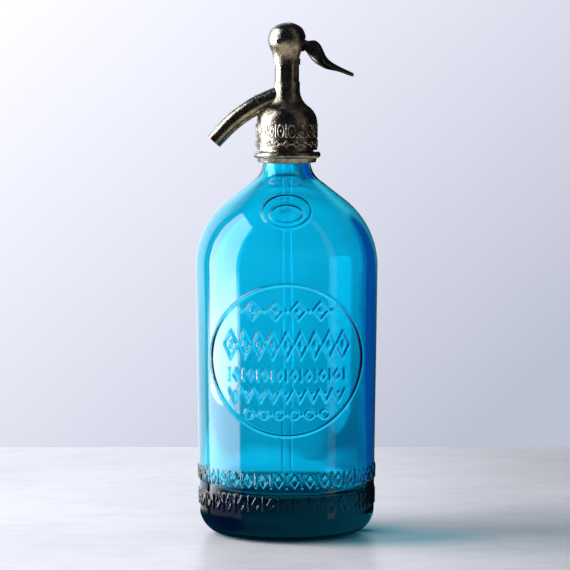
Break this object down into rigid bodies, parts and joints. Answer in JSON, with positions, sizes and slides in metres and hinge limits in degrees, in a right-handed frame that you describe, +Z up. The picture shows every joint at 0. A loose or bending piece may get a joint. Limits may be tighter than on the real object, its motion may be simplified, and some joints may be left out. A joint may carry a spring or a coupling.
{
  "type": "soda siphon",
  "caption": "Glass soda siphon bottle with a cast metal head, bent side spout and a thumb lever that opens a spring-loaded valve.",
  "frame": {"origin": "centre of the ring that the bottle stands on", "axes": "+Z up along the bottle's axis, +X towards the lever, -X towards the spout, -Y towards the side with the round moulded frame"},
  "size_m": [0.1086, 0.1092, 0.305],
  "materials": {
    "tinted_glass": "thick blue tinted glass with moulded relief",
    "clear_glass": "clear glass tube",
    "head_metal": "cast brass under worn nickel plate, pitted and tarnished",
    "spout_metal": "smooth tube under worn nickel plate",
    "barrel_metal": "turned tube under dull plate",
    "lever_metal": "pressed thumb lever, dark worn plate with bright edges",
    "bare_brass": "turned brass",
    "solder": "dull joint ring",
    "spring_steel": "drawn spring wire",
    "pin_steel": "turned pin with a flat, rubbed end",
    "rubber": "matt black rubber",
    "liner": "thin fibre strip"
  },
  "bodies": {
    "root": {"bottle": "tinted_glass", "dip_tube": "clear_glass", "tube_ferrule": "bare_brass", "tube_seal": "rubber", "mouth_gasket": "rubber", "collar_liner": "liner", "collar_half_front": "head_metal", "collar_half_rear": "head_metal", "head_body": "head_metal", "valve_seat": "bare_brass", "spout_joint_ring": "solder", "spout_tube": "spout_metal", "packing_ring": "rubber", "gland_washer": "bare_brass", "spring_barrel": "barrel_metal", "spring_washer": "bare_brass", "plunger_spring": "spring_steel", "dome_cap": "head_metal", "lever_pin": "pin_steel"},
    "lever": {"lever": "lever_metal"},
    "plunger": {"plunger": "bare_brass", "plunger_button": "bare_brass", "valve_washer": "rubber", "backing_plate": "bare_brass", "valve_nut": "bare_brass"}
  },
  "joints": [
    {"name": "lever_pivot", "type": "hinge", "parent": "root", "child": "lever", "pos_m": [-0.0045, 0, 0.2936], "axis": [0, 1, 0], "range_deg": [0, 14]},
    {"name": "plunger_slide", "type": "slide", "parent": "root", "child": "plunger", "axis": [0, 0, -1], "range_m": [0, 0.0014], "stiffness_N_per_m": 800, "springref_m": -0.0012, "deforming": ["plunger_spring"]}
  ],
  "couplings": [
    {"joint": "lever_pivot", "follows": "plunger_slide", "rad_per_m": 173.9}
  ]
}
